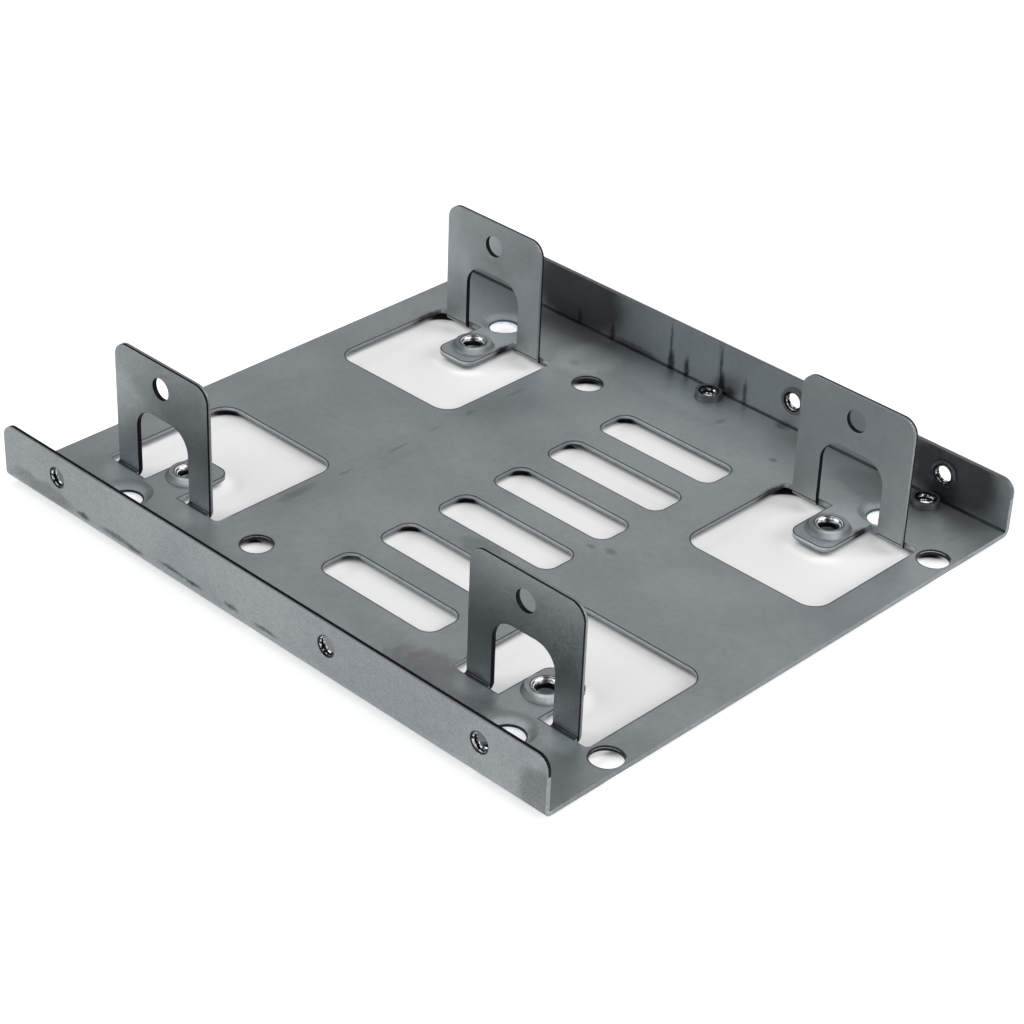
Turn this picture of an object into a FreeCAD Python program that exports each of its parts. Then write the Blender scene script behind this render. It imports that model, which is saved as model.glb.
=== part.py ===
import FreeCAD, Part
import Sketcher
import os

# Drive bay adapter bracket: one folded sheet of steel.
# A flat plate has a side wall bent up along each long side. Four windows are punched in the plate.
# The flap of each window is bent up as a tab, and the tongue cut from the middle of the flap stays
# flat, sticks out into the window and carries a raised lug for a drive screw.
# +X runs across the side walls, +Y along them, +Z up. The origin is the middle of the footprint, at
# the height of the four pressed feet. Lengths are in millimetres.
# The part is the same on both sides of X = 0, so the half at +X is built and then mirrored.

# Driving dimensions: name, value, meaning
SIZES = (
    ("bay_width", 101.6, "outer width over the side walls, that of a 3.5 inch drive"),
    ("plate_length", 115.3, "length of plate and side walls along Y"),
    ("sheet", 0.8, "sheet thickness"),
    ("bend_radius", 0.4, "inner radius of every fold"),
    ("foot_drop", 1.2, "height of the plate's underside above the feet"),
    ("wall_height", 9.6, "side wall height above the plate's underside"),
    ("wall_corner", 2.2, "radius of the side wall's top corners"),
    ("drive_middle", -0.25, "Y of the middle of the drive, from which the other Y sizes are taken"),
    ("bay_thread_r", 1.75, "wall radius of the holes for bay screws"),
    ("collar_r", 2.25, "outer radius of a drawn collar"),
    ("side_collar", 0.5, "how far a side hole's collar stands in from the wall"),
    ("plate_collar", 1.1, "how far a plate hole's collar stands up"),
    ("side_hole_far", 45.0, "from the drive's middle to the farthest side hole"),
    ("side_step_long", 60.0, "from the farthest side hole to the next"),
    ("side_step_short", 30.0, "from that hole to the nearest one"),
    ("side_hole_rise", 5.65, "side hole height above the plate's underside"),
    ("bottom_pitch_across", 95.25, "bottom hole spacing of a 3.5 inch drive along X"),
    ("bottom_pitch_along", 44.45, "bottom hole spacing of a 3.5 inch drive along Y"),
    ("bottom_far", 0.63, "from the drive's middle to the farther bottom holes"),
    ("drive_pitch_across", 61.72, "bottom hole spacing of a 2.5 inch drive along X"),
    ("drive_pitch_along", 76.6, "bottom and side hole spacing of a 2.5 inch drive along Y"),
    ("drive_gap", 70.0, "clear width between the tabs, for a drive 69.85 wide"),
    ("tab_width", 21.4, "tab width along Y"),
    ("tab_rise", 22.2, "tab height above the plate's underside"),
    ("tab_corner", 2.6, "radius of the tab's top corners"),
    ("tab_hole_r", 1.85, "radius of the tab's screw hole"),
    ("tab_hole_rise", 17.95, "tab hole height above the plate's underside"),
    ("arch_width", 12.0, "width of the arch in the tab"),
    ("arch_rise", 12.7, "top of the arch above the plate's underside"),
    ("arch_corner", 3.8, "radius of the arch's top corners"),
    ("relief", 0.1, "how far the punched edge lies behind the tab's fold"),
    ("window_near_x", 12.0, "X of the window's inboard edge"),
    ("window_width", 26.0, "window width along Y"),
    ("window_corner", 3.2, "radius of the window's inboard corners"),
    ("relief_corner", 0.8, "radius of the window's corners beside the fold"),
    ("tongue_width", 7.8, "tongue width along Y"),
    ("tongue_reach", 5.2, "from the lug's centre to the tongue's tip"),
    ("tongue_corner", 2.2, "radius of the tongue's corners"),
    ("lug_height", 0.9, "how far a lug stands up from the plate"),
    ("lug_foot_r", 3.6, "radius of a lug at its foot"),
    ("lug_top_r", 3.05, "radius of a lug at its flat top"),
    ("lug_hollow_r", 2.9, "radius of the hollow below a lug"),
    ("lug_hole_r", 2.15, "radius of the hole in a lug"),
    ("foot_pitch", 82.0, "spacing of the feet along X and along Y"),
    ("foot_mouth_r", 4.2, "radius of a foot's dish at the plate's top"),
    ("foot_floor_r", 3.0, "radius of the flat floor of the dish"),
    ("foot_wall", 0.33, "how much wider a foot is below than its dish is above"),
    ("foot_hole_r", 2.5, "radius of the hole in a foot"),
    ("plain_hole_r", 2.5, "radius of the plain holes"),
    ("plain_pitch", 71.74, "spacing of the plain holes along X"),
    ("plain_far", 16.7, "from the drive's middle to the farther plain holes"),
    ("plain_near", -54.45, "from the drive's middle to the nearer plain holes"),
    ("slot_pitch", 12.0, "spacing of the air slots along X"),
    ("slot_width", 7.05, "width of an air slot"),
    ("slot_length", 23.8, "length of an air slot along Y"),
    ("slot_middle", -5.8, "from the drive's middle to the slots' middle"),
    ("slot_corner", 2.2, "radius of a slot's corners"),
    ("slots_per_half", 3, "air slots on each side of the middle"),
)

os.makedirs("parts", exist_ok=True)
doc = FreeCAD.newDocument("bracket")
sheet = doc.addObject("Spreadsheet::Sheet", "Sizes")
for row, (name, value, meaning) in enumerate(SIZES, start=1):
    sheet.set(f"A{row}", meaning)
    sheet.set(f"B{row}", str(value))
    sheet.setAlias(f"B{row}", name)
doc.recompute()


class Size:
    """A length known by its number and by the expression that ties it to the sheet."""

    def __init__(self, number, text):
        self.number = float(number)
        self.text = text

    def __add__(self, other):
        other = as_size(other)
        return Size(self.number + other.number, f"({self.text} + {other.text})")

    def __sub__(self, other):
        other = as_size(other)
        return Size(self.number - other.number, f"({self.text} - {other.text})")

    def __mul__(self, factor):
        return Size(self.number * factor, f"({self.text} * {factor})")

    def __truediv__(self, divisor):
        return Size(self.number / divisor, f"({self.text} / {divisor})")

    def __neg__(self):
        return Size(-self.number, f"(0 - {self.text})")


def as_size(value):
    if isinstance(value, Size):
        return value
    return Size(value, str(value))


def size(name):
    return Size(sheet.get(name), f"Sizes.{name}")


ZERO = as_size(0)
CLEARANCE = as_size(1)
FULL_TURN = 360
SAME_POINT = 1e-4
LEAST_CHANGE = 1e-3

# Levels and positions that several features share
thickness = size("sheet")
centre_y = size("drive_middle")
half_width = size("bay_width") / 2
half_length = size("plate_length") / 2
underside = size("foot_drop")
top_side = underside + thickness
wall_inner = half_width - thickness
wall_top = underside + size("wall_height")
tab_inner = size("drive_gap") / 2
tab_outer = tab_inner + thickness
tab_top = underside + size("tab_rise")
fold_edge = tab_outer + size("bend_radius") + size("relief")
lug_x = size("drive_pitch_across") / 2
lug_rows = (
    ("far", centre_y + size("drive_pitch_along") / 2),
    ("near", centre_y - size("drive_pitch_along") / 2),
)
foot_x = size("foot_pitch") / 2
foot_rows = (
    ("far", centre_y + size("foot_pitch") / 2),
    ("near", centre_y - size("foot_pitch") / 2),
)
arch_top = underside + size("arch_rise")
tongue_tip = lug_x - size("tongue_reach")

body = doc.addObject("PartDesign::Body", "bracket")
body.Label = "bracket"
planes = {item.Role: item for item in body.Origin.OriginFeatures}


def new_sketch(name, role, offset=(ZERO, ZERO, ZERO)):
    """Sketch on one of the body's origin planes, moved in the plane's own x, y and normal."""
    sketch = body.newObject("Sketcher::SketchObject", name)
    sketch.AttachmentSupport = [(planes[role], "")]
    sketch.MapMode = "FlatFace"
    sketch.AttachmentOffset = FreeCAD.Placement(
        FreeCAD.Vector(*(part.number for part in offset)), FreeCAD.Rotation()
    )
    for axis, part in zip("xyz", offset):
        sketch.setExpression(f"AttachmentOffset.Base.{axis}", part.text)
    return sketch


def tie(sketch, kind, where, length):
    """Adds one dimension to a sketch and binds it to the sheet."""
    index = sketch.addConstraint(Sketcher.Constraint(kind, *where, length.number))
    sketch.setExpression(f"Constraints[{index}]", length.text)


def tie_point(sketch, item, point, across, up):
    """Places a point of a sketch from the sketch's origin."""
    for kind, axis, length in (("DistanceX", -2, across), ("DistanceY", -1, up)):
        if length is ZERO:
            sketch.addConstraint(Sketcher.Constraint("PointOnObject", item, point, axis))
        else:
            tie(sketch, kind, (-1, 1, item, point), length)


def draw_polygon(sketch, corners):
    """Closed outline of straight lines through the corners, each corner held by its own sizes."""
    points = [FreeCAD.Vector(across.number, up.number, 0) for across, up in corners]
    items = []
    for index, start in enumerate(points):
        end = points[(index + 1) % len(points)]
        items.append(sketch.addGeometry(Part.LineSegment(start, end), False))
    for index, item in enumerate(items):
        following = items[(index + 1) % len(items)]
        sketch.addConstraint(Sketcher.Constraint("Coincident", item, 2, following, 1))
    for item, (across, up) in zip(items, corners):
        tie_point(sketch, item, 1, across, up)


def draw_rectangle(sketch, low_x, high_x, low_y, high_y):
    draw_polygon(sketch, ((low_x, low_y), (high_x, low_y), (high_x, high_y), (low_x, high_y)))


def draw_circle(sketch, across, up, radius):
    centre = FreeCAD.Vector(across.number, up.number, 0)
    shape = Part.Circle(centre, FreeCAD.Vector(0, 0, 1), radius.number)
    item = sketch.addGeometry(shape, False)
    tie_point(sketch, item, 3, across, up)
    tie(sketch, "Radius", (item,), radius)


def volume_now():
    return 0.0 if body.Shape.isNull() else body.Shape.Volume


def check_change(name, before, grows):
    """Stops the build when a feature left the volume as it was or moved it the wrong way."""
    doc.recompute()
    change = volume_now() - before
    if (change if grows else -change) < LEAST_CHANGE:
        raise RuntimeError(f"{name} changed the volume by {change:.4f}")


def pad(name, sketch, length, midplane=False):
    before = volume_now()
    feature = body.newObject("PartDesign::Pad", name)
    feature.Profile = sketch
    feature.Length = length.number
    feature.setExpression("Length", length.text)
    feature.Midplane = midplane
    check_change(name, before, True)
    return feature


def pocket(name, sketch, length=None, backwards=False):
    """Cut through everything both ways, or only the given length from the sketch."""
    before = volume_now()
    feature = body.newObject("PartDesign::Pocket", name)
    feature.Profile = sketch
    if length is None:
        feature.Type = "ThroughAll"
        feature.Midplane = True
    else:
        feature.Length = length.number
        feature.setExpression("Length", length.text)
        feature.Reversed = backwards
    check_change(name, before, False)
    return feature


def turn(kind, name, sketch, axis):
    """Full turn about the sketch's own axis: Revolution adds, Groove cuts."""
    before = volume_now()
    feature = body.newObject(f"PartDesign::{kind}", name)
    feature.Profile = sketch
    feature.ReferenceAxis = (sketch, [axis])
    feature.Angle = FULL_TURN
    feature.Refine = False
    check_change(name, before, kind == "Revolution")
    return feature


def same(one, other):
    return abs(one - other) < SAME_POINT


def straight_edges(along, at):
    """Names of the straight edges that run along an axis and pass through the given x, y or z."""
    names = []
    for index, edge in enumerate(body.Shape.Edges, start=1):
        if edge.Curve.TypeId != "Part::GeomLine":
            continue
        first = edge.Vertexes[0].Point
        last = edge.Vertexes[-1].Point
        fixed = [axis for axis in range(3) if same(first[axis], last[axis])]
        if len(fixed) != 2 or along in fixed:
            continue
        if at(first, last):
            names.append(f"Edge{index}")
    return names


def fillet(name, radius, names, expected):
    if len(names) != expected:
        raise RuntimeError(f"{name}: {len(names)} edges found, {expected} expected")
    base = body.Tip
    feature = body.newObject("PartDesign::Fillet", name)
    feature.Base = (base, names)
    feature.Radius = radius.number
    feature.setExpression("Radius", radius.text)
    doc.recompute()
    return feature


# Folded channel: half of the plate and one side wall
profile = new_sketch("channel_profile", "XZ_Plane")
draw_polygon(
    profile,
    (
        (ZERO, underside),
        (half_width, underside),
        (half_width, wall_top),
        (wall_inner, wall_top),
        (wall_inner, top_side),
        (ZERO, top_side),
    ),
)
pad("channel", profile, size("plate_length"), midplane=True)
fillet(
    "wall_fold_inner",
    size("bend_radius"),
    straight_edges(1, lambda a, b: same(a.x, wall_inner.number) and same(a.z, top_side.number)),
    1,
)
fillet(
    "wall_fold_outer",
    size("bend_radius") + thickness,
    straight_edges(1, lambda a, b: same(a.x, half_width.number) and same(a.z, underside.number)),
    1,
)
fillet(
    "wall_corners",
    size("wall_corner"),
    straight_edges(0, lambda a, b: same(abs(a.y), half_length.number) and same(a.z, wall_top.number)),
    2,
)

# Air slots
slot_low = centre_y + size("slot_middle") - size("slot_length") / 2
slot_high = centre_y + size("slot_middle") + size("slot_length") / 2
slots = new_sketch("slot_outlines", "XY_Plane")
slot_sides = []
for index in range(int(size("slots_per_half").number)):
    middle = size("slot_pitch") * (index + 0.5)
    low_x = middle - size("slot_width") / 2
    high_x = middle + size("slot_width") / 2
    slot_sides += [low_x.number, high_x.number]
    draw_rectangle(slots, low_x, high_x, slot_low, slot_high)
pocket("slots", slots)
fillet(
    "slot_corners",
    size("slot_corner"),
    straight_edges(
        2,
        lambda a, b: any(same(a.x, side) for side in slot_sides)
        and (same(a.y, slot_low.number) or same(a.y, slot_high.number)),
    ),
    2 * len(slot_sides),
)

# Windows, one near and one far
windows = new_sketch("window_outlines", "XY_Plane")
half_window = size("window_width") / 2
window_ends = []
for _, middle in lug_rows:
    window_ends += [(middle - half_window).number, (middle + half_window).number]
    draw_rectangle(
        windows, size("window_near_x"), fold_edge, middle - half_window, middle + half_window
    )
pocket("windows", windows)


def window_corner(x):
    return straight_edges(2, lambda a, b: same(a.x, x) and any(same(a.y, end) for end in window_ends))


fillet("window_corners", size("window_corner"), window_corner(size("window_near_x").number), 4)
fillet("relief_corners", size("relief_corner"), window_corner(fold_edge.number), 4)

# Tabs with their arches and tongues, one near and one far
half_tab = size("tab_width") / 2
half_arch = size("arch_width") / 2
half_tongue = size("tongue_width") / 2
for place, middle in lug_rows:
    fold = new_sketch(f"{place}_tab_profile", "XZ_Plane", (ZERO, ZERO, -middle))
    draw_polygon(
        fold,
        (
            (tab_inner, underside),
            (fold_edge + thickness, underside),
            (fold_edge + thickness, top_side),
            (tab_outer, top_side),
            (tab_outer, tab_top),
            (tab_inner, tab_top),
        ),
    )
    pad(f"{place}_tab", fold, size("tab_width"), midplane=True)

    arch = new_sketch(f"{place}_arch_outline", "YZ_Plane", (middle, ZERO, fold_edge))
    draw_rectangle(arch, -half_arch, half_arch, underside - CLEARANCE, arch_top)
    pocket(f"{place}_arch", arch, fold_edge - tab_inner + CLEARANCE)
    fillet(
        f"{place}_arch_corners",
        size("arch_corner"),
        straight_edges(
            0,
            lambda a, b: same(a.z, arch_top.number)
            and same(abs(a.y - middle.number), half_arch.number),
        ),
        2,
    )
    fillet(
        f"{place}_tab_corners",
        size("tab_corner"),
        straight_edges(
            0,
            lambda a, b: same(a.z, tab_top.number)
            and same(abs(a.y - middle.number), half_tab.number),
        ),
        2,
    )

    tongue = new_sketch(f"{place}_tongue_outline", "XY_Plane", (ZERO, middle, underside))
    draw_rectangle(tongue, tongue_tip, fold_edge + thickness, -half_tongue, half_tongue)
    pad(f"{place}_tongue", tongue, thickness)
    fillet(
        f"{place}_tongue_corners",
        size("tongue_corner"),
        straight_edges(
            2,
            lambda a, b: same(a.x, tongue_tip.number)
            and same(abs(a.y - middle.number), half_tongue.number),
        ),
        2,
    )

fillet(
    "tab_folds_inner",
    size("bend_radius"),
    straight_edges(1, lambda a, b: same(a.x, tab_outer.number) and same(a.z, top_side.number)),
    4,
)
fillet(
    "tab_folds_outer",
    size("bend_radius") + thickness,
    straight_edges(1, lambda a, b: same(a.x, tab_inner.number) and same(a.z, underside.number)),
    4,
)

tab_holes = new_sketch("tab_hole_outlines", "YZ_Plane", (ZERO, underside, fold_edge))
for _, middle in lug_rows:
    draw_circle(tab_holes, middle, size("tab_hole_rise"), size("tab_hole_r"))
pocket("tab_holes", tab_holes, fold_edge - tab_inner + CLEARANCE)

# Plain holes
plain_holes = new_sketch("plain_hole_outlines", "XY_Plane")
for along in (size("plain_far"), size("plain_near")):
    draw_circle(plain_holes, size("plain_pitch") / 2, centre_y + along, size("plain_hole_r"))
pocket("plain_holes", plain_holes)


# Lugs: a shallow cone pressed up from the tongue, hollow below, with a hole through its flat top
lug_top = top_side + size("lug_height")
lug_ceiling = lug_top - thickness
for place, middle in lug_rows:
    outside = new_sketch(f"{place}_lug_outside", "XZ_Plane", (lug_x, ZERO, -middle))
    draw_polygon(
        outside,
        (
            (ZERO, top_side - thickness / 2),
            (size("lug_foot_r"), top_side - thickness / 2),
            (size("lug_foot_r"), top_side),
            (size("lug_top_r"), lug_top),
            (ZERO, lug_top),
        ),
    )
    turn("Revolution", f"{place}_lug", outside, "V_Axis")
    inside = new_sketch(f"{place}_lug_inside", "XZ_Plane", (lug_x, ZERO, -middle))
    draw_polygon(
        inside,
        (
            (ZERO, underside - CLEARANCE),
            (size("lug_hollow_r"), underside - CLEARANCE),
            (size("lug_hollow_r"), lug_ceiling),
            (size("lug_hole_r"), lug_ceiling),
            (size("lug_hole_r"), lug_top + CLEARANCE),
            (ZERO, lug_top + CLEARANCE),
        ),
    )
    turn("Groove", f"{place}_lug_hollow", inside, "V_Axis")

# Feet: a dish pressed down beside each tab, with a hole through its floor
foot_floor = thickness
for place, middle in foot_rows:
    outside = new_sketch(f"{place}_foot_outside", "XZ_Plane", (foot_x, ZERO, -middle))
    draw_polygon(
        outside,
        (
            (ZERO, ZERO),
            (size("foot_floor_r") + size("foot_wall"), ZERO),
            (size("foot_mouth_r") + size("foot_wall"), underside),
            (size("foot_mouth_r") + size("foot_wall"), underside + thickness / 2),
            (ZERO, underside + thickness / 2),
        ),
    )
    turn("Revolution", f"{place}_foot", outside, "V_Axis")
    inside = new_sketch(f"{place}_foot_inside", "XZ_Plane", (foot_x, ZERO, -middle))
    draw_polygon(
        inside,
        (
            (ZERO, -CLEARANCE),
            (size("foot_hole_r"), -CLEARANCE),
            (size("foot_hole_r"), foot_floor),
            (size("foot_floor_r"), foot_floor),
            (size("foot_mouth_r"), top_side),
            (size("foot_mouth_r"), top_side + CLEARANCE),
            (ZERO, top_side + CLEARANCE),
        ),
    )
    turn("Groove", f"{place}_foot_dish", inside, "V_Axis")


def draw_collar(name, place, offset, outward, axis, height, swap):
    """Collar drawn through the sheet. The face that it is drawn from lies at 0 along its axis."""

    def at(radius, along):
        along = along if outward > 0 else -along
        return (along, radius) if swap else (radius, along)

    top = thickness + height
    outside = new_sketch(f"{name}_outside", place, offset)
    draw_polygon(
        outside,
        (
            at(ZERO, thickness / 2),
            at(size("collar_r"), thickness / 2),
            at(size("collar_r"), top),
            at(ZERO, top),
        ),
    )
    turn("Revolution", name, outside, axis)
    inside = new_sketch(f"{name}_inside", place, offset)
    draw_polygon(
        inside,
        (
            at(ZERO, -CLEARANCE),
            at(size("bay_thread_r"), -CLEARANCE),
            at(size("bay_thread_r"), top + CLEARANCE),
            at(ZERO, top + CLEARANCE),
        ),
    )
    turn("Groove", f"{name}_bore", inside, axis)


# Threaded holes of the plate, with collars that stand up
bottom_x = size("bottom_pitch_across") / 2
bottom_far = centre_y + size("bottom_far")
for place, middle in (("far", bottom_far), ("near", bottom_far - size("bottom_pitch_along"))):
    draw_collar(
        f"{place}_plate_collar",
        "XZ_Plane",
        (bottom_x, underside, -middle),
        1,
        "V_Axis",
        size("plate_collar"),
        False,
    )

# Threaded holes of the side wall, with collars that stand inward
side_far = centre_y + size("side_hole_far")
side_middle = side_far - size("side_step_long")
side_near = side_middle - size("side_step_short")
for place, middle in (("far", side_far), ("middle", side_middle), ("near", side_near)):
    draw_collar(
        f"{place}_side_collar",
        "XY_Plane",
        (half_width, middle, underside + size("side_hole_rise")),
        -1,
        "H_Axis",
        size("side_collar"),
        True,
    )

# The other half
mirrored = body.newObject("PartDesign::Mirrored", "both_sides")
mirrored.TransformMode = "Whole shape"
mirrored.MirrorPlane = (planes["YZ_Plane"], [""])
body.Tip = mirrored
doc.recompute()

for item in doc.Objects:
    if "Invalid" in item.State or "Error" in item.State:
        raise RuntimeError(f"{item.Name}: {item.State}")
shape = body.Shape
if shape.isNull() or not shape.isValid() or len(shape.Solids) != 1:
    raise RuntimeError("the bracket isn't one valid solid")
shape.exportStep(f"parts/{body.Label}.step")
print("volume", round(shape.Volume, 1), "box", shape.BoundBox)
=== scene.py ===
import math

import bpy
from mathutils import Matrix, Vector


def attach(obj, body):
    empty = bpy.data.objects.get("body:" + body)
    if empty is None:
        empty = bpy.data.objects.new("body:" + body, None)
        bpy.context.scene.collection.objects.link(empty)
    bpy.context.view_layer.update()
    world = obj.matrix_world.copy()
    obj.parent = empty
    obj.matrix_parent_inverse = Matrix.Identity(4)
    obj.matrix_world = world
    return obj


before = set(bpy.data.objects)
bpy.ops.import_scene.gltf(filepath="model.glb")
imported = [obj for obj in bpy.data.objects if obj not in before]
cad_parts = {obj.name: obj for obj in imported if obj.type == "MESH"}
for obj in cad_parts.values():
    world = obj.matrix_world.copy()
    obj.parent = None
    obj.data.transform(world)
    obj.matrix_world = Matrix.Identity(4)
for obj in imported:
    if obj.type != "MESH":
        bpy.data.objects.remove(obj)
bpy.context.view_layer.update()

# The row frame is in metres, and the sizes here are in millimetres unless a name says otherwise
MM = 0.001

# Sizes of the solid that the pieces and the shading follow. The left half mirrors the right one,
# so X is given once for both. A row is a distance along Y from the middle of the drive.
DRIVE_MIDDLE_Y = -0.25
HALF_WIDTH = 50.8
HALF_LENGTH = 57.65
SHEET = 0.8
UNDERSIDE = 1.2
PLATE_TOP = 2.0
FOLD_RADIUS = 0.4
PLATE_CORNER = 0.4
WALL_INNER_X = 50.0
TAB_INNER_X = 35.0
TAB_OUTER_X = 35.8
TAB_TOP_Z = 23.4
SIDE_HOLE_HEIGHT = 6.85
SIDE_HOLES_Y = (45.0, -15.0, -45.0)
SIDE_COLLAR = 0.5
PLATE_COLLAR = 1.1
PLATE_HOLES_X = 47.625
PLATE_HOLES_Y = (0.63, -43.82)
LUG_CENTRE = (30.86, 38.3)
FOOT_CENTRE = (41.0, 41.0)

# Openings of the plate: middle, half sizes and corner radius
WINDOW = ((24.15, 38.3), (12.15, 13.0), 3.2)
TONGUE = ((32.83, 38.3), (7.17, 3.9), 2.2)
SLOT = ((0.0, -6.05), (3.525, 11.9), 2.2)
SLOT_PITCH = 12.0
SLOTS_END_X = 36.0
PAST_SLOTS_STEEPNESS = 10.0
PLAIN_HOLES = ((35.87, 16.45), (35.87, -54.7))
PLAIN_HOLE_R = 2.5
FAR_AWAY = 100.0

# Camera, solved from the photograph's straight edges and hole centres
CAMERA_AZIMUTH = -46.628
CAMERA_ELEVATION = 32.239
CAMERA_ROLL = -2.301
CAMERA_LENS = 99.84
SENSOR_WIDTH = 36.0
CAMERA_TARGET = Vector((0.0, -0.25, 1.343))
TARGET_RIGHT = -0.910
TARGET_DOWN = -1.008
CAMERA_DISTANCE = 434.658
CLIP_START_M = 0.01
CLIP_END_M = 20.0


def make_camera():
    azimuth = math.radians(CAMERA_AZIMUTH)
    elevation = math.radians(CAMERA_ELEVATION)
    roll = math.radians(CAMERA_ROLL)
    forward = -Vector(
        (
            math.sin(azimuth) * math.cos(elevation),
            -math.cos(azimuth) * math.cos(elevation),
            math.sin(elevation),
        )
    )
    level_right = forward.cross(Vector((0, 0, 1))).normalized()
    level_down = forward.cross(level_right)
    right = math.cos(roll) * level_right + math.sin(roll) * level_down
    down = math.cos(roll) * level_down - math.sin(roll) * level_right
    place = CAMERA_TARGET - TARGET_RIGHT * right - TARGET_DOWN * down - CAMERA_DISTANCE * forward
    data = bpy.data.cameras.new("camera")
    data.lens = CAMERA_LENS
    data.sensor_width = SENSOR_WIDTH
    data.clip_start = CLIP_START_M
    data.clip_end = CLIP_END_M
    camera = bpy.data.objects.new("camera", data)
    turn = Matrix((right, -down, -forward)).transposed().to_4x4()
    camera.matrix_world = Matrix.Translation(place * MM) @ turn
    bpy.context.scene.collection.objects.link(camera)
    bpy.context.scene.camera = camera


# Node helpers


def new_material(name):
    material = bpy.data.materials.new(name)
    material.use_nodes = True
    tree = material.node_tree
    tree.nodes.clear()
    return material, tree


def add_node(tree, kind, **settings):
    node = tree.nodes.new(kind)
    for key, value in settings.items():
        setattr(node, key, value)
    return node


def feed(tree, node, socket, value):
    """Links a socket, or sets its default when the value is a plain number or tuple."""
    if isinstance(value, bpy.types.NodeSocket):
        tree.links.new(value, node.inputs[socket])
    else:
        node.inputs[socket].default_value = value


def set_surface(tree, surface):
    output = add_node(tree, "ShaderNodeOutputMaterial")
    tree.links.new(surface, output.inputs["Surface"])


def part_point(tree):
    """Place on the object in millimetres."""
    place = add_node(tree, "ShaderNodeTexCoord").outputs["Object"]
    return vector_node(tree, "SCALE", place, scale=1.0 / MM)


def math_node(tree, operation, first, second=None, clamp=False):
    node = add_node(tree, "ShaderNodeMath", operation=operation, use_clamp=clamp)
    feed(tree, node, 0, first)
    if second is not None:
        feed(tree, node, 1, second)
    return node.outputs[0]


def vector_node(tree, operation, *values, scale=None):
    node = add_node(tree, "ShaderNodeVectorMath", operation=operation)
    for index, value in enumerate(values):
        feed(tree, node, index, value)
    if scale is not None:
        feed(tree, node, "Scale", scale)
    return node.outputs["Value"] if operation in ("LENGTH", "DOT_PRODUCT") else node.outputs["Vector"]


def noise(tree, vector, scale, detail):
    node = add_node(tree, "ShaderNodeTexNoise")
    feed(tree, node, "Vector", vector)
    feed(tree, node, "Scale", scale)
    feed(tree, node, "Detail", detail)
    feed(tree, node, "Roughness", NOISE_ROUGHNESS)
    return node.outputs["Fac"]


def spread(tree, value, low, high, to_low=0.0, to_high=1.0):
    """Smooth step from to_low at low to to_high at high."""
    node = add_node(tree, "ShaderNodeMapRange", clamp=True, interpolation_type="SMOOTHSTEP")
    feed(tree, node, "Value", value)
    feed(tree, node, "From Min", low)
    feed(tree, node, "From Max", high)
    feed(tree, node, "To Min", to_low)
    feed(tree, node, "To Max", to_high)
    return node.outputs["Result"]


def fade(tree, value, low, high):
    """Smooth step down from 1 at low to 0 at high."""
    return spread(tree, value, low, high, 1.0, 0.0)


def mix_colour(tree, factor, first, second):
    node = add_node(tree, "ShaderNodeMix", data_type="RGBA")
    factor_socket, first_socket, second_socket, result_socket = 0, 6, 7, 2
    feed(tree, node, factor_socket, factor)
    feed(tree, node, first_socket, first)
    feed(tree, node, second_socket, second)
    return node.outputs[result_socket]


def plus(tree, first, second, clamp=False):
    return math_node(tree, "ADD", first, second, clamp=clamp)


def minus(tree, first, second):
    return math_node(tree, "SUBTRACT", first, second)


def times(tree, *values):
    product = values[0]
    for value in values[1:]:
        product = math_node(tree, "MULTIPLY", product, value)
    return product


def least(tree, first, second):
    return math_node(tree, "MINIMUM", first, second)


def most(tree, first, second):
    return math_node(tree, "MAXIMUM", first, second)


def negative(tree, value):
    return times(tree, value, -1.0)


def size_of(tree, value):
    return math_node(tree, "ABSOLUTE", value)


def above(tree, value, level):
    return math_node(tree, "GREATER_THAN", value, level)


def below(tree, value, level):
    return math_node(tree, "LESS_THAN", value, level)


def within(tree, value, low, high):
    """1 between low and high, 0 elsewhere."""
    return times(tree, above(tree, value, low), below(tree, value, high))


def either(tree, *masks):
    total = masks[0]
    for mask in masks[1:]:
        total = plus(tree, total, mask, clamp=True)
    return total


def inverse(tree, mask):
    return minus(tree, 1.0, mask)


def add_mix(tree, mask, clear, masked):
    """The first value where the mask is 0 and the second where it is 1."""
    return plus(tree, clear, times(tree, mask, minus(tree, masked, clear)))


def shade_where(tree, mask, shade):
    """Factor that is 1 where the mask is 0 and the given shade where it is 1."""
    return plus(tree, times(tree, mask, shade - 1.0), 1.0)


def parts_of(tree, vector):
    split = add_node(tree, "ShaderNodeSeparateXYZ")
    feed(tree, split, "Vector", vector)
    return split.outputs["X"], split.outputs["Y"], split.outputs["Z"]


def vector_of(tree, x, y, z=0.0):
    joined = add_node(tree, "ShaderNodeCombineXYZ")
    feed(tree, joined, "X", x)
    feed(tree, joined, "Y", y)
    feed(tree, joined, "Z", z)
    return joined.outputs[0]


def folded_place(tree, point):
    """Side, row and height of a place, the same for all four corners of the bracket."""
    x, y, z = parts_of(tree, point)
    return size_of(tree, x), size_of(tree, minus(tree, y, DRIVE_MIDDLE_Y)), z


def distance_from(tree, first, second, centre):
    away = vector_of(tree, minus(tree, first, centre[0]), minus(tree, second, centre[1]))
    return vector_node(tree, "LENGTH", away)


# Zinc-coated steel: colours, and factors of painted shade and painted light on single features of the
# sheet
STEEL_COLOUR = (0.330, 0.360, 0.374, 1.0)
STEEL_PALE = (0.380, 0.408, 0.420, 1.0)
# Near black of the cut edges, partly their own and partly painted shade where they turn from the light,
# and painted shade in the hollows of the threads and lips
CUT_AND_SHADE_COLOUR = (0.018, 0.021, 0.023, 1.0)
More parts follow.
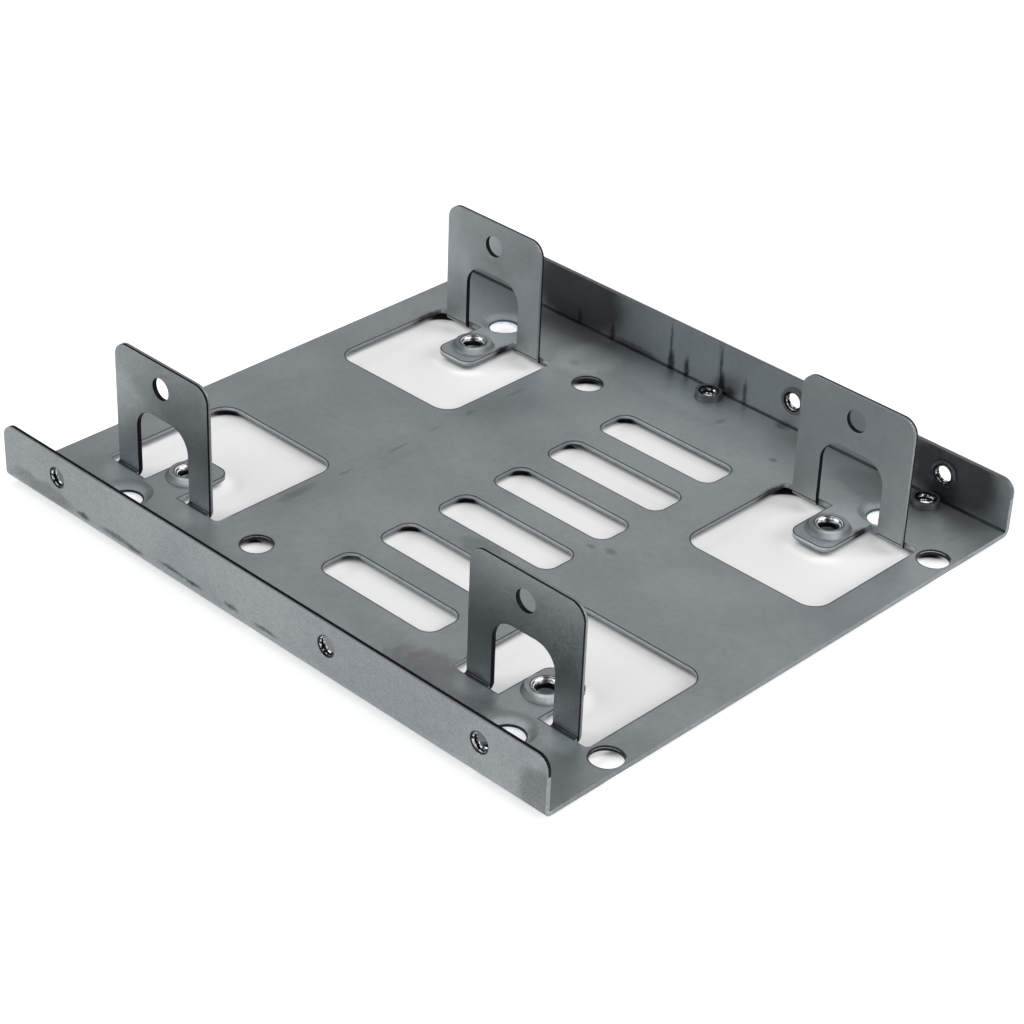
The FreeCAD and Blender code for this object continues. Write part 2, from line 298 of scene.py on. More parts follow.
# Pale part of the cut edges: partly the punch's burnish and partly painted sheen
BURNISH_AND_SHEEN_COLOUR = (0.36, 0.38, 0.39, 1.0)
POLISHED_COLOUR = (0.80, 0.82, 0.83, 1.0)
POLISHED_ROUGHNESS = 0.24
CREASE_SHADE = 0.2
ARRIS_SHADE = 0.25
COLLAR_SHADE = 0.55
RIGHT_WALL_PALE = 0.60

# Its clouding, mottling and grain
NOISE_ROUGHNESS = 0.55
GRAIN_SCALE = 7.0
GRAIN_DETAIL = 1.0
GRAIN_RANGE = (0.4, 0.6)
GRAIN_ROUGHNESS = (0.36, 0.68)
CLOUD_SCALE = 0.055
CLOUD_DETAIL = 4.0
CLOUD_RANGE = (0.35, 0.68)
MOTTLE_SCALE = 0.9
MOTTLE_DETAIL = 3.0
MOTTLE_RANGE = (0.25, 0.75)
MOTTLE_SHADE = (0.96, 1.035)
CUT_ROUGHER = 0.2
BUMP_STRENGTH = 0.25
BUMP_DEPTH_M = 0.00002

# Marks on the steel: centre, half sizes, how much darker; a negative share is paler.
# The fine ones are smears, knocks and strokes, and some painted shade by the right tabs. The broad and
# calm ones are mostly painted shade and painted light, with a few darker or paler patches of untold
# cause.
BROAD_MARKS = (
    # Painted shade on the inside of the right wall behind the two right tabs, which keep the light from
    # it
    ((50.0, 32.4, 7.4), (0.7, 13.4, 8.0), 0.70),
    ((50.0, -47.0, 7.4), (0.7, 10.5, 8.0), 0.68),
    # Left wall: painted shade a little darker all along, and darker patches at its ends
    ((-50.8, 0.0, 6.0), (0.7, 90.0, 12.0), 0.12),
    ((-50.8, 48.5, 3.2), (0.7, 9.0, 2.0), 0.26),
    ((-50.8, -58.0, 4.0), (0.7, 6.5, 6.0), 0.34),
    # The plate is a little paler than the tabs, which is painted light
    ((0.0, 0.0, 2.0), (150.0, 150.0, 0.9), -0.05),
    # Plate: painted shade in the corridors beside the tabs, and darker or paler patches at both ends, in
    # the gaps of the slots and along the row of strokes
    ((-40.0, -27.0, 2.0), (6.5, 13.0, 1.0), 0.30),
    ((47.5, 33.0, 2.0), (3.5, 9.0, 1.0), 0.10),
    ((45.5, -38.0, 2.0), (5.5, 11.0, 1.0), 0.20),
    ((-40.0, -55.5, 2.0), (14.0, 7.0, 1.0), 0.16),
    ((30.0, -55.5, 2.0), (22.0, 6.0, 1.0), -0.08),
    ((0.0, 55.0, 2.0), (60.0, 5.0, 1.0), -0.05),
    ((-12.0, -7.0, 2.0), (2.6, 5.0, 1.0), 0.20),
    ((0.0, 22.0, 2.0), (70.0, 3.2, 1.0), 0.04),
    # Painted light on the corner of the plate beside the right far tab
    ((42.0, 22.0, 2.0), (7.0, 6.5, 1.0), -0.30),
    # Painted shade on the upper halves of the two far tabs
    ((35.4, 38.0, 22.0), (1.5, 13.0, 9.0), 0.20),
    ((35.0, 38.0, 14.5), (0.8, 7.0, 2.5), 0.12),
    ((-35.4, 38.0, 22.0), (1.5, 13.0, 9.0), 0.24),
    # Painted shade on the legs of the tabs
    ((35.0, 46.8, 7.0), (0.8, 3.0, 7.0), 0.08),
    ((-35.8, 46.8, 7.0), (0.8, 3.0, 7.0), 0.08),
    ((35.0, -30.0, 7.0), (0.8, 3.0, 7.0), 0.08),
    ((-35.8, -47.0, 7.5), (0.8, 3.4, 8.5), 0.17),
)
FINE_MARKS = (
    # Upright smears on the inside of the right wall, wide at the fold
    ((50.0, 10.8, 3.0), (0.7, 1.05, 3.6), 0.80),
    ((50.0, 11.0, 7.0), (0.7, 0.45, 4.6), 0.58),
    ((50.0, 7.4, 3.2), (0.7, 0.80, 3.3), 0.78),
    ((50.0, -0.3, 3.2), (0.7, 0.95, 3.8), 0.80),
    ((50.0, 0.1, 7.0), (0.7, 0.42, 4.6), 0.58),
    ((50.0, -2.2, 2.9), (0.7, 1.60, 1.3), 0.50),
    ((50.0, -5.2, 3.6), (0.7, 0.60, 3.8), 0.60),
    ((50.0, 31.6, 3.0), (0.7, 0.75, 2.4), 0.55),
    ((50.0, 24.0, 3.2), (0.7, 0.75, 3.0), 0.65),
    ((50.0, 19.0, 2.5), (0.7, 7.5, 1.0), 0.50),
    # Knocks along the foot of the left wall
    ((-50.8, 38.6, 3.0), (0.7, 2.0, 0.70), 0.68),
    ((-50.8, 31.0, 3.0), (0.7, 4.8, 0.70), 0.50),
    ((-50.8, 26.6, 2.7), (0.7, 2.6, 0.55), 0.60),
    ((-50.8, 18.4, 3.5), (0.7, 3.4, 0.45), 0.50),
    ((-50.8, 15.6, 3.3), (0.7, 6.0, 0.22), 0.55),
    ((-50.8, 13.2, 3.2), (0.7, 2.2, 0.50), 0.62),
    ((-50.8, 4.8, 3.4), (0.7, 2.0, 0.60), 0.60),
    ((-50.8, -2.6, 3.1), (0.7, 3.4, 0.45), 0.55),
    # Short strokes across the plate, all in one row
    ((-1.3, 22.5, 2.0), (3.1, 0.55, 0.5), 0.22),
    ((-12.3, 22.6, 2.0), (1.9, 0.50, 0.5), 0.24),
    ((7.2, 22.9, 2.0), (2.0, 0.45, 0.5), 0.18),
    ((14.9, 22.7, 2.0), (1.5, 0.60, 0.5), 0.22),
    ((25.0, 22.3, 2.0), (3.2, 0.55, 0.5), 0.20),
    ((-22.0, 23.2, 2.0), (5.0, 1.30, 0.5), 0.22),
    ((39.3, 22.6, 2.0), (1.2, 1.2, 0.5), 0.20),
    # Shaded far rims of the right windows beside the tabs, and the near roots of their tongues
    ((32.6, 51.2, 1.5), (4.6, 0.9, 0.8), 0.85),
    ((32.6, -25.4, 1.5), (4.6, 0.9, 0.8), 0.85),
    ((33.7, 34.1, 1.5), (2.4, 1.1, 1.3), 0.92),
    ((33.7, -42.5, 1.5), (2.4, 1.1, 1.3), 0.92),
    # Small nicks and smudges on the plate
    ((0.5, -17.7, 2.0), (0.7, 1.0, 0.5), 0.28),
    ((1.6, -20.6, 2.0), (0.9, 1.5, 0.5), 0.30),
    ((42.9, -6.4, 2.0), (1.7, 0.8, 0.5), 0.26),
    ((40.0, -19.9, 2.0), (0.8, 1.1, 0.5), 0.32),
    ((49.3, -14.0, 2.0), (1.6, 1.8, 0.6), 0.45),
    # Painted shade round the plate's near right threaded collar, in the corridor beside the near right
    # tab
    ((47.6, -44.07, 2.6), (3.2, 3.2, 0.8), 0.35),
)
CALM_MARKS = (
    # Painted light on the tongues
    ((28.0, 38.05, 2.0), (14.0, 9.0, 0.6), -0.36),
    ((28.0, -38.55, 2.0), (14.0, 9.0, 0.6), -0.34),
    # Painted light on the plate along the right fold, at the near right corner and before the legs of
    # the left tabs
    ((44.5, 6.0, 2.0), (4.6, 26.0, 0.8), -0.22),
    ((28.0, 24.0, 2.0), (11.0, 6.0, 1.0), -0.20),
    ((46.0, -53.0, 2.0), (9.0, 9.0, 1.0), -0.26),
    ((24.0, -54.5, 2.0), (14.0, 5.0, 1.0), -0.08),
    ((-38.0, 45.5, 2.0), (3.5, 5.0, 1.0), -0.30),
    ((-38.0, 28.3, 2.0), (3.0, 4.0, 1.0), -0.25),
    ((-37.5, -31.0, 2.0), (3.5, 4.5, 1.0), -0.45),
    ((-37.8, -48.3, 2.0), (3.5, 4.0, 1.0), -0.35),
    # Painted shade on the edge of the right far dish and on the plate beside the left wall
    ((38.4, 40.6, 1.0), (1.8, 1.8, 1.6), 0.30),
    ((-38.4, -13.0, 2.0), (4.0, 10.0, 1.0), 0.09),
)

# Painted highlight on the near shoulder of every lug
LUG_SHINE_OFFSET = 1.7
LUG_SHINE_Z = 2.7
LUG_SHINE_RADII = (2.3, 2.3, 0.9)
LUG_SHINE_SHARE = -1.3
CORNERS = ((1, 1), (1, -1), (-1, 1), (-1, -1))


def lug_marks():
    marks = []
    for side, end in CORNERS:
        x = side * LUG_CENTRE[0] - LUG_SHINE_OFFSET
        y = end * LUG_CENTRE[1] + DRIVE_MIDDLE_Y - LUG_SHINE_OFFSET
        marks.append(((x, y, LUG_SHINE_Z), LUG_SHINE_RADII, LUG_SHINE_SHARE))
    return tuple(marks)


# Groups of marks: how finely and how far their outlines wander, and the part of the radius that is full
MARK_GROUPS = (
    (BROAD_MARKS, 0.35, 2.6, 0.6),
    (FINE_MARKS, 1.6, 0.7, 0.3),
    (CALM_MARKS + lug_marks(), 1.6, 0.1, 0.3),
)
WANDER_DETAIL = 3.0
WANDER_ACROSS = 0.5
NOISE_MIDDLE = (0.5, 0.5, 0.5)
STEADY_FROM_X = WALL_INNER_X - 0.1


def marks_shade(tree, point, marks, wander_scale, wander_size, full):
    """Product of all marks, stains and painted shade and light: 1 where there are none, less where
    darker, more where paler.
    """
    wander = add_node(tree, "ShaderNodeTexNoise")
    feed(tree, wander, "Vector", point)
    feed(tree, wander, "Scale", wander_scale)
    feed(tree, wander, "Detail", WANDER_DETAIL)
    shift = vector_node(tree, "SUBTRACT", wander.outputs["Color"], NOISE_MIDDLE)
    reach = (WANDER_ACROSS * wander_size, wander_size, wander_size)
    shift_x, shift_y, shift_z = parts_of(tree, vector_node(tree, "MULTIPLY", shift, reach))
    # No wander across the side walls, so that a mark on one face can't show on the other
    off_wall = below(tree, size_of(tree, parts_of(tree, point)[0]), STEADY_FROM_X)
    held = vector_of(tree, times(tree, shift_x, off_wall), shift_y, shift_z)
    ragged = vector_node(tree, "ADD", point, held)
    shade = 1.0
    for centre, radii, share in marks:
        stretch = tuple(1.0 / radius for radius in radii)
        offset = tuple(-middle / radius for middle, radius in zip(centre, radii))
        away = vector_node(tree, "MULTIPLY_ADD", ragged, stretch, offset)
        away = vector_node(tree, "LENGTH", away)
        shade = times(tree, spread(tree, away, full, 1.0, 1.0 - share, 1.0), shade)
    return shade


def rounded_box(tree, first, second, middle, half, radius):
    """Distance outside a rounded rectangle, negative inside it."""
    past_first = minus(tree, size_of(tree, minus(tree, first, middle[0])), half[0] - radius)
    past_second = minus(tree, size_of(tree, minus(tree, second, middle[1])), half[1] - radius)
    outer = vector_of(tree, most(tree, past_first, 0.0), most(tree, past_second, 0.0))
    inner = least(tree, most(tree, past_first, past_second), 0.0)
    return minus(tree, plus(tree, vector_node(tree, "LENGTH", outer), inner), radius)


def plate_distance(tree, point):
    """Distances seen from straight above: from the nearest edge, a round hole and the outline.

    The first is positive on the sheet, the second outside the holes, the third outside the plate.
    """
    side, row, _ = folded_place(tree, point)
    y = parts_of(tree, point)[1]
    window = rounded_box(tree, side, row, *WINDOW)
    window = most(tree, window, negative(tree, rounded_box(tree, side, row, *TONGUE)))
    offset = minus(tree, math_node(tree, "MODULO", side, SLOT_PITCH), SLOT_PITCH / 2)
    past_last = most(tree, minus(tree, side, SLOTS_END_X), 0.0)
    offset = plus(tree, size_of(tree, offset), times(tree, past_last, PAST_SLOTS_STEEPNESS))
    nearest = least(tree, window, rounded_box(tree, offset, y, *SLOT))
    round_hole = FAR_AWAY
    for centre, place in ((PLAIN_HOLES[0], y), (PLAIN_HOLES[1], y), (FOOT_CENTRE, row)):
        hole = minus(tree, distance_from(tree, side, place, centre), PLAIN_HOLE_R)
        round_hole = least(tree, round_hole, hole)
    nearest = least(tree, nearest, round_hole)
    outside = rounded_box(tree, side, y, (0.0, 0.0), (HALF_WIDTH, HALF_LENGTH), PLATE_CORNER)
    return least(tree, nearest, negative(tree, outside)), round_hole, outside


# Ranges that tell the cut edges, their pale part of burnish and painted sheen, and the arrises from the
# sheet's faces:
# heights, places across and rows, and sizes of the surface normal's parts
WALL_FROM_Z = 3.2
AT_WALL_X = WALL_INNER_X - 0.6
WALL_EDGE_X = WALL_INNER_X - 1.2
WALL_BREAK_X = 50.55
WALL_END_ROW = HALF_LENGTH - 1.0
WALL_END_PALE_Z = 7.8
TAB_ROWS = (27.0, 50.0)
TAB_SHEET_X = (TAB_INNER_X - 0.1, TAB_OUTER_X + 0.1)
TAB_FOLD_X = (TAB_INNER_X - 0.3, 36.4)
TAB_PALE_X = (TAB_INNER_X - 0.3, 35.42)
TAB_OUTLINE_ROWS = (28.3, 48.4)
TAB_OUTLINE_Z = TAB_TOP_Z - 1.1
TONGUE_ROOT_ROWS = (33.5, 43.2)
FOLD_END_Z = (1.3, WALL_FROM_Z + 0.01)
FOLD_END_ALONG = 0.8
ARCH_ROWS = (31.8, 44.8)
ARCH_TOP_Z = 14.3
EDGE_ACROSS = 0.5
ARRIS_ACROSS = (0.5, 0.97)
ARRIS_UP = (0.25, 0.97)
PLATE_LEVELS = (1.0, PLATE_TOP + 0.02)
DISH_REACH = 4.5

# Ranges of the painted shade along the folds: dark lines in the creases and on the outside of the tabs'
# folds
TAB_CREASE_X = (TAB_OUTER_X - 0.03, TAB_OUTER_X + FOLD_RADIUS + 0.05)
WALL_CREASE_X = (WALL_INNER_X - FOLD_RADIUS - 0.05, WALL_INNER_X + 0.03)
CREASE_Z = (PLATE_TOP - 0.01, PLATE_TOP + FOLD_RADIUS + 0.05)
CREASE_ACROSS = (0.15, 0.99)
OUTER_FOLD_X = (TAB_INNER_X - 0.05, TAB_INNER_X + 0.7)
OUTER_FOLD_ACROSS = 0.3
OUTER_FOLD_LINES_Z = ((2.05, 2.3), (1.0, 1.62))


def edge_masks(tree, point, normal):
    """Masks of the cut edges, their pale part of burnish and painted sheen, the arrises, the openings'
    walls and the creases; arrises and creases get painted shade.
    """
    side, row, z = folded_place(tree, point)
    across, along, up = (size_of(tree, value) for value in parts_of(tree, normal))
    in_wall = above(tree, z, WALL_FROM_Z)
    at_wall = above(tree, side, AT_WALL_X)
    wall_edge = above(tree, side, WALL_EDGE_X)
    tab_row = within(tree, row, *TAB_ROWS)
    at_tab = times(tree, within(tree, side, *TAB_SHEET_X), tab_row)
    by_fold = either(tree, at_wall, times(tree, within(tree, side, *TAB_FOLD_X), tab_row))

    at_foot = times(tree, at_tab, inverse(tree, within(tree, row, *TONGUE_ROOT_ROWS)))
    foot = times(tree, either(tree, at_foot, at_wall), within(tree, z, *FOLD_END_Z))
    cut = times(tree, in_wall, below(tree, across, EDGE_ACROSS))
    cut = either(tree, cut, times(tree, foot, above(tree, along, FOLD_END_ALONG)))

    # Pale part of the cut edges, partly burnish and partly painted sheen: the inner halves of the tabs'
    # outlines, the outer parts of the walls' tops and the walls' ends below
    near_row, far_row = TAB_OUTLINE_ROWS
    outline = either(tree, above(tree, row, far_row), below(tree, row, near_row))
    outline = either(tree, outline, above(tree, z, TAB_OUTLINE_Z))
    burnish_and_sheen = times(tree, within(tree, side, *TAB_PALE_X), outline)
    wall_end = times(tree, above(tree, row, WALL_END_ROW), below(tree, z, WALL_END_PALE_Z))
    outer_half = times(tree, above(tree, side, WALL_BREAK_X), in_wall)
    burnish_and_sheen = either(tree, burnish_and_sheen, outer_half, times(tree, wall_edge, wall_end))
    # Painted light: the right wall's cut edges are paler than the left one's
    right_wall = above(tree, parts_of(tree, point)[0], WALL_EDGE_X)
    burnish_and_sheen = either(tree, burnish_and_sheen, times(tree, right_wall, RIGHT_WALL_PALE))

    # Arrises of the arches and of the plate's openings, which get painted shade
    in_arch = times(tree, within(tree, row, *ARCH_ROWS), below(tree, z, ARCH_TOP_Z))
    wall_arris = times(tree, in_wall, in_arch, within(tree, across, *ARRIS_ACROSS))
    in_dish = below(tree, distance_from(tree, side, row, FOOT_CENTRE), DISH_REACH)
    flat = times(tree, within(tree, z, *PLATE_LEVELS), inverse(tree, by_fold))
    plate_arris = times(tree, flat, within(tree, up, *ARRIS_UP), inverse(tree, in_dish))
    plate_arris = times(tree, plate_arris, below(tree, row, WALL_END_ROW))
    walls = times(tree, flat, below(tree, up, ARRIS_UP[0]))

    tab_crease = times(tree, within(tree, side, *TAB_CREASE_X), tab_row)
    crease = either(tree, tab_crease, within(tree, side, *WALL_CREASE_X))
    crease = times(tree, crease, within(tree, z, *CREASE_Z), within(tree, across, *CREASE_ACROSS))
    outer_fold = times(tree, within(tree, side, *OUTER_FOLD_X), tab_row)
    outer_fold = times(tree, outer_fold, above(tree, across, OUTER_FOLD_ACROSS))
    lines = either(tree, *(within(tree, z, *levels) for levels in OUTER_FOLD_LINES_Z))
    crease = either(tree, crease, times(tree, outer_fold, lines))
    return cut, burnish_and_sheen, either(tree, wall_arris, plate_arris), walls, crease


def facing_front(tree, normal):
    """How far a wall turns to the front corner between the two large lights."""
    x, y, _ = parts_of(tree, normal)
    return times(tree, plus(tree, x, y), -math.sqrt(0.5))


def far_side(tree, point, centre):
    """1 straight behind the centre of a corner feature, -1 straight before it."""
    x, y, _ = parts_of(tree, point)
    row_y = minus(tree, y, DRIVE_MIDDLE_Y)
    away_x = minus(tree, x, times(tree, math_node(tree, "SIGN", x), centre[0]))
    away_y = minus(tree, row_y, times(tree, math_node(tree, "SIGN", row_y), centre[1]))
    away = vector_node(tree, "NORMALIZE", vector_of(tree, away_x, away_y))
    return negative(tree, facing_front(tree, away))


# Walls of the openings: pale above, partly the punch's burnish and partly painted light; dark below, and
# in painted shade where they face the front
WALL_BURNISH_AND_SHEEN = 1.3
# Painted shade on the lower edge of the walls and on the walls of the round holes
HOLE_SHADE = 0.06
# Painted shade on the plate's end walls
END_WALL_SHADE = 0.68
DARK_FROM_Z = UNDERSIDE - 0.04
DARK_SOFTNESS = (-0.05, 0.05)
CRESCENT_FRONT = (0.62, 0.88)
CRESCENT_RISE = 0.30
LOW_BAND_Z = (1.50, 1.68)
LOW_BAND_SHADE = 0.68
# Painted shade on the walls that face the near end
NEAR_WALL_NORMAL_Y = (-0.9, -0.6)
NEAR_WALL_SHADE = 0.72
# Painted pale line across the middle of the round holes' walls
PALE_LINE_Z = (1.66, 1.80)
PALE_LINE_FRONT = (0.45, 0.75)
PALE_LINE_GAIN = 0.9
ROUND_WALL_REACH = 0.3
TONGUE_X = (24.0, 35.0)
TONGUE_ROWS = (34.0, 42.6)
TAB_SIDE_FROM_X = 34.9
TAB_SIDE_ROWS = (24.0, 51.8)


def opening_wall_shade(tree, point, normal, round_hole):
    side, row, z = folded_place(tree, point)
    front = facing_front(tree, normal)
    tongue = times(tree, within(tree, side, *TONGUE_X), within(tree, row, *TONGUE_ROWS))
    tab_side = times(tree, above(tree, side, TAB_SIDE_FROM_X), within(tree, row, *TAB_SIDE_ROWS))
    # Painted shade: crescents where the walls face the front
    crescent = spread(tree, front, *CRESCENT_FRONT, 0.0, CRESCENT_RISE)
    crescent = times(tree, crescent, inverse(tree, either(tree, tongue, tab_side)))
    dark = fade(tree, minus(tree, minus(tree, z, DARK_FROM_Z), crescent), *DARK_SOFTNESS)
    shade = plus(tree, times(tree, dark, HOLE_SHADE - WALL_BURNISH_AND_SHEEN), WALL_BURNISH_AND_SHEEN)
    shade = times(tree, shade, spread(tree, z, *LOW_BAND_Z, LOW_BAND_SHADE, 1.0))
    to_near = parts_of(tree, normal)[1]
    shade = times(tree, shade, spread(tree, to_near, *NEAR_WALL_NORMAL_Y, NEAR_WALL_SHADE, 1.0))
    pale_line = times(tree, within(tree, z, *PALE_LINE_Z), spread(tree, front, *PALE_LINE_FRONT))
    at_round = times(tree, below(tree, round_hole, ROUND_WALL_REACH), inverse(tree, tab_side))
    return add_mix(tree, at_round, shade, plus(tree, HOLE_SHADE, times(tree, pale_line, PALE_LINE_GAIN)))


# Dished feet: the hole's wall in painted shade above and painted light at its rim, and a painted
# highlight on the slope behind it
DISH_WALL_FADE = (2.6, 2.75)
DISH_RIM_Z = (0.40, 0.52)
DISH_RIM_SHADE = 2.4
DISH_RIGHT_SHADE = 0.5
DISH_LEFT_SHADE = 0.12
DISH_SLOPE_SHADE = 2.2
DISH_SLOPE_START = (2.65, 2.85)
DISH_SLOPE_END = (3.2, 3.9)
DISH_SLOPE_UP = 0.1
DISH_SLOPE_BEHIND = (0.2, 0.8)
DISH_SLOPE_SIDES_X = (-1.0, 1.0)
DISH_SLOPE_SHARES = (0.7, 0.5)


def dish_shade(tree, point, up):
    side, row, z = folded_place(tree, point)
    x = parts_of(tree, point)[0]
    reach = distance_from(tree, side, row, FOOT_CENTRE)
    sunk = times(tree, fade(tree, reach, *DISH_WALL_FADE), within(tree, z, 0.0, PLATE_TOP))
    upper_shade = add_mix(tree, below(tree, x, 0.0), DISH_RIGHT_SHADE, DISH_LEFT_SHADE)
    sunk_shade = add_mix(tree, spread(tree, z, *DISH_RIM_Z), DISH_RIM_SHADE, upper_shade)
    slope = times(tree, spread(tree, reach, *DISH_SLOPE_START), fade(tree, reach, *DISH_SLOPE_END))
    slope = times(tree, slope, spread(tree, x, *DISH_SLOPE_SIDES_X, *DISH_SLOPE_SHARES))
    behind = spread(tree, far_side(tree, point, FOOT_CENTRE), *DISH_SLOPE_BEHIND)
    slope = times(tree, slope, behind, above(tree, up, DISH_SLOPE_UP))
    return times(tree, add_mix(tree, sunk, 1.0, sunk_shade), shade_where(tree, slope, DISH_SLOPE_SHADE))


COLLAR_FADE = (2.2, 2.5)
SIDE_COLLAR_X = (WALL_INNER_X - 0.8, HALF_WIDTH - 0.1)
PLATE_COLLAR_FROM_Z = 1.9


def collar_mask(tree, point):
    """Collars of the threaded holes on the inner faces of the walls and on the plate, which get painted
    shade.
    """
    x, y, z = parts_of(tree, point)
    side = size_of(tree, x)
    on_wall = within(tree, side, *SIDE_COLLAR_X)
    on_plate = above(tree, z, PLATE_COLLAR_FROM_Z)
    total = 0.0
    for hole_y in SIDE_HOLES_Y:
        reach = distance_from(tree, y, z, (hole_y + DRIVE_MIDDLE_Y, SIDE_HOLE_HEIGHT))
        total = either(tree, total, times(tree, fade(tree, reach, *COLLAR_FADE), on_wall))
    for hole_y in PLATE_HOLES_Y:
        reach = distance_from(tree, side, y, (PLATE_HOLES_X, hole_y + DRIVE_MIDDLE_Y))
        total = either(tree, total, times(tree, fade(tree, reach, *COLLAR_FADE), on_plate))
    return total


# Painted shade: dark outline of the openings on the plate's top, and of the lugs' mouths
OUTLINE_SHADE = 0.30
OUTLINE_FADE = (0.12, 0.30)
OUTLINE_UP = 0.5
OUTLINE_Z = (PLATE_TOP - 0.3, PLATE_TOP + 0.02)
LUG_EDGE_REACH = (2.0, 2.36)
LUG_EDGE_FROM_Z = PLATE_TOP + 0.3


def opening_shade(tree, point, normal, walls):
    """Painted shade and light, and the punch's burnish, in and around the openings of the plate."""
    side, row, z = folded_place(tree, point)
    up = parts_of(tree, normal)[2]
    off_ends = below(tree, size_of(tree, parts_of(tree, point)[1]), WALL_END_ROW)
    covered, round_hole, _ = plate_distance(tree, point)
    on_top = times(tree, above(tree, up, OUTLINE_UP), within(tree, z, *OUTLINE_Z), off_ends)
    outline = times(tree, on_top, fade(tree, covered, *OUTLINE_FADE))
    wall_shade = opening_wall_shade(tree, point, normal, round_hole)
    wall_shade = add_mix(tree, off_ends, END_WALL_SHADE, wall_shade)
    lug_reach = distance_from(tree, side, row, LUG_CENTRE)
    lug_edge = times(tree, within(tree, lug_reach, *LUG_EDGE_REACH), above(tree, z, LUG_EDGE_FROM_Z))
    return times(
        tree,
        shade_where(tree, outline, OUTLINE_SHADE),
        add_mix(tree, walls, 1.0, wall_shade),
        dish_shade(tree, point, up),
        shade_where(tree, lug_edge, OUTLINE_SHADE),
        shade_where(tree, collar_mask(tree, point), COLLAR_SHADE),
    )


# Pressed forms with soft shoulders: centre, reach, and how far the shading normal leans up there
SOFT_FORMS = (
    (LUG_CENTRE, 3.8, 0.5),
    (FOOT_CENTRE, DISH_REACH, 0.72),
)
SOFT_FORMS_UP = 0.2


def soft_shoulders(tree, point, normal):
    """Shading normal that leans up on the pressed lugs and dishes, whose shoulders are soft."""
    side, row, _ = folded_place(tree, point)
    total = 0.0
    for centre, reach, share in SOFT_FORMS:
        inside = below(tree, distance_from(tree, side, row, centre), reach)
        total = plus(tree, times(tree, inside, share), total)
    total = times(tree, total, above(tree, parts_of(tree, normal)[2], SOFT_FORMS_UP))
    lean = vector_node(tree, "SCALE", (0.0, 0.0, 1.0), scale=total)
    kept = vector_node(tree, "SCALE", normal, scale=inverse(tree, total))
    return vector_node(tree, "NORMALIZE", vector_node(tree, "ADD", lean, kept))


def make_steel():
    material, tree = new_material("zinc_steel")
    point = part_point(tree)
    geometry = add_node(tree, "ShaderNodeNewGeometry")
    true_normal = geometry.outputs["True Normal"]
    grain = noise(tree, point, GRAIN_SCALE, GRAIN_DETAIL)
    cloud = noise(tree, point, CLOUD_SCALE, CLOUD_DETAIL)
    mottle = noise(tree, point, MOTTLE_SCALE, MOTTLE_DETAIL)
    base = mix_colour(tree, spread(tree, cloud, *CLOUD_RANGE), STEEL_COLOUR, STEEL_PALE)
    cut, burnish_and_sheen, arris, walls, crease = edge_masks(tree, point, true_normal)
    shade = times(
        tree,
        *(marks_shade(tree, point, *group) for group in MARK_GROUPS),
        spread(tree, mottle, *MOTTLE_RANGE, *MOTTLE_SHADE),
        shade_where(tree, crease, CREASE_SHADE),
        shade_where(tree, arris, ARRIS_SHADE),
        opening_shade(tree, point, true_normal, walls),
    )
    base = vector_node(tree, "SCALE", base, scale=shade)
    # Cut edges: near black, with burnish and painted sheen on their pale part
    sheared = mix_colour(tree, burnish_and_sheen, CUT_AND_SHADE_COLOUR, BURNISH_AND_SHEEN_COLOUR)
    roughness = spread(tree, grain, *GRAIN_RANGE, *GRAIN_ROUGHNESS)
    roughness = plus(tree, roughness, times(tree, cut, CUT_ROUGHER), clamp=True)
    bump = add_node(tree, "ShaderNodeBump")
    feed(tree, bump, "Height", mottle)
    feed(tree, bump, "Strength", BUMP_STRENGTH)
    feed(tree, bump, "Distance", BUMP_DEPTH_M)
    feed(tree, bump, "Normal", soft_shoulders(tree, point, geometry.outputs["Normal"]))
    shader = add_node(tree, "ShaderNodeBsdfPrincipled")
    feed(tree, shader, "Base Color", mix_colour(tree, cut, base, sheared))
    feed(tree, shader, "Metallic", 1.0)
    feed(tree, shader, "Roughness", roughness)
    feed(tree, shader, "Normal", bump.outputs["Normal"])
    set_surface(tree, shader.outputs["BSDF"])
    return material


WELD_REACH_M = 1e-6
FLAT_ANGLE = 0.8
EDGE_BREAK = 0.18
EDGE_BREAK_SEGMENTS = 2
EDGE_BREAK_ANGLE = 38


def dress_bracket(steel):
    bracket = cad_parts["bracket"]
    bracket.data.materials.clear()
    bracket.data.materials.append(steel)
    weld = bracket.modifiers.new("weld", "WELD")
    weld.merge_threshold = WELD_REACH_M
    flat = bracket.modifiers.new("flat", "DECIMATE")
    flat.decimate_type = "DISSOLVE"
    flat.angle_limit = math.radians(FLAT_ANGLE)
    bevel = bracket.modifiers.new("edge_breaks", "BEVEL")
    bevel.width = EDGE_BREAK * MM
    bevel.segments = EDGE_BREAK_SEGMENTS
    bevel.limit_method = "ANGLE"
    bevel.angle_limit = math.radians(EDGE_BREAK_ANGLE)
    bevel.harden_normals = True


# Mesh helpers


def ring_faces(first, rings, steps):
    """Quads between stacked rings of corners, the first of which starts at the given corner."""
    faces = []
    for ring in range(rings - 1):
        for step in range(steps):
            here = first + ring * steps + step
            beside = first + ring * steps + (step + 1) % steps
            faces.append((here, here + steps, beside + steps, beside))
    return faces


def add_piece(name, corners, faces, material, smooth=True):
    mesh = bpy.data.meshes.new(name)
    mesh.from_pydata(corners, [], faces)
    mesh.polygons.foreach_set("use_smooth", [smooth] * len(mesh.polygons))
    mesh.materials.append(material)
    piece = bpy.data.objects.new(name, mesh)
    bpy.context.scene.collection.objects.link(piece)
    return piece


